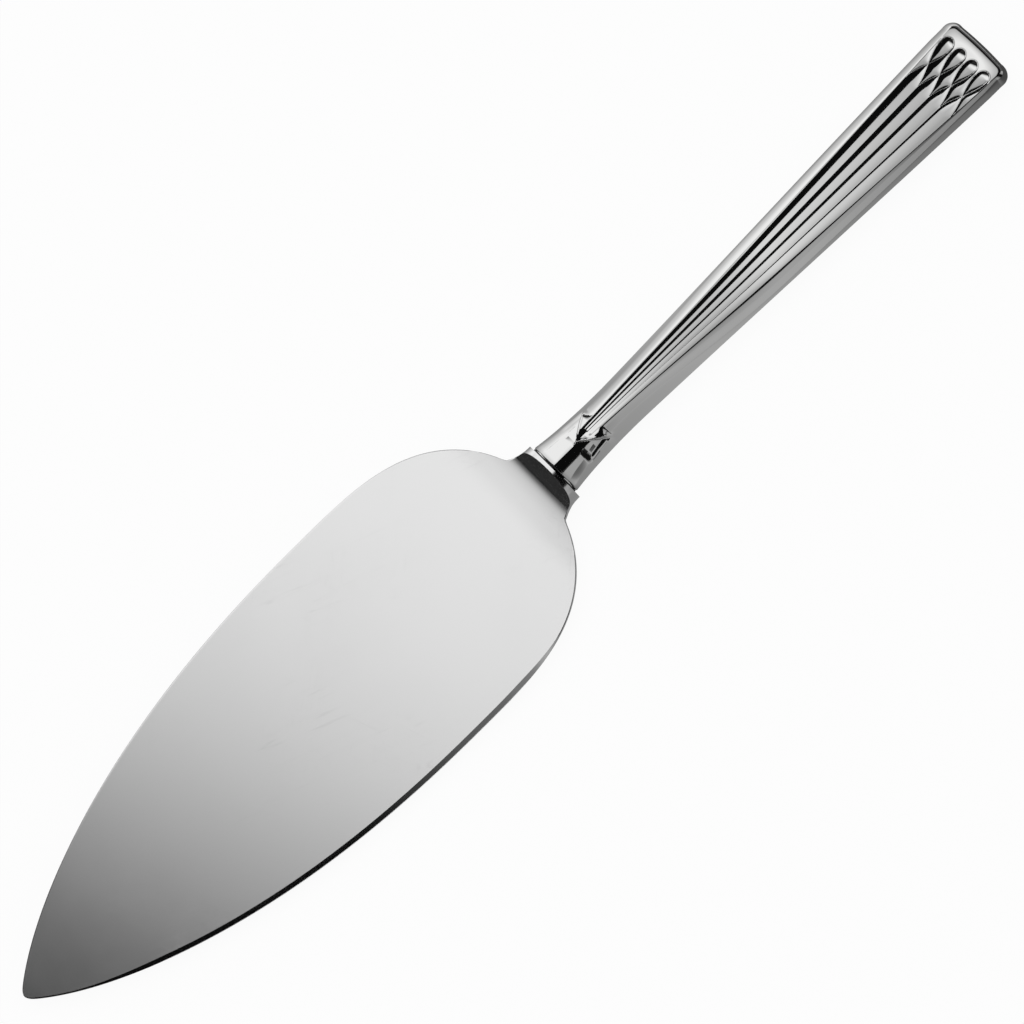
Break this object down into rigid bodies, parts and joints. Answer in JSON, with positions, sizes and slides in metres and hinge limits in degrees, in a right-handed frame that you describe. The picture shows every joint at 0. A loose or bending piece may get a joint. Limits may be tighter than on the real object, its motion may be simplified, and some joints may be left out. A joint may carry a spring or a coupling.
{
  "type": "pie knife",
  "caption": "Serving knife with a flat leaf-shaped steel blade, a short oval bolster and a hollow fluted metal handle that widens to a square butt.",
  "frame": {"origin": "under the middle of the knife's length and width, at the height of its lowest point, which is the back of the handle's neck", "axes": "+X from the blade's tip to the handle's butt, +Y across the blade, to the right of someone who holds the knife with the ornament up and the tip pointing away, +Z out of the ornamented front, square to the blade's flat faces"},
  "size_m": [0.27, 0.0534, 0.0106],
  "materials": {
    "satin_steel": "stainless steel, fine satin polish with light scratches",
    "polished_silver": "polished silver-coloured metal",
    "silver_solder": "cast, dull",
    "brown_cement": "matt resin cement"
  },
  "bodies": {
    "root": {"blade": "satin_steel", "handle_front_shell": "polished_silver", "handle_back_shell": "polished_silver", "solder_line": "silver_solder", "handle_filler": "brown_cement"}
  },
  "joints": []
}
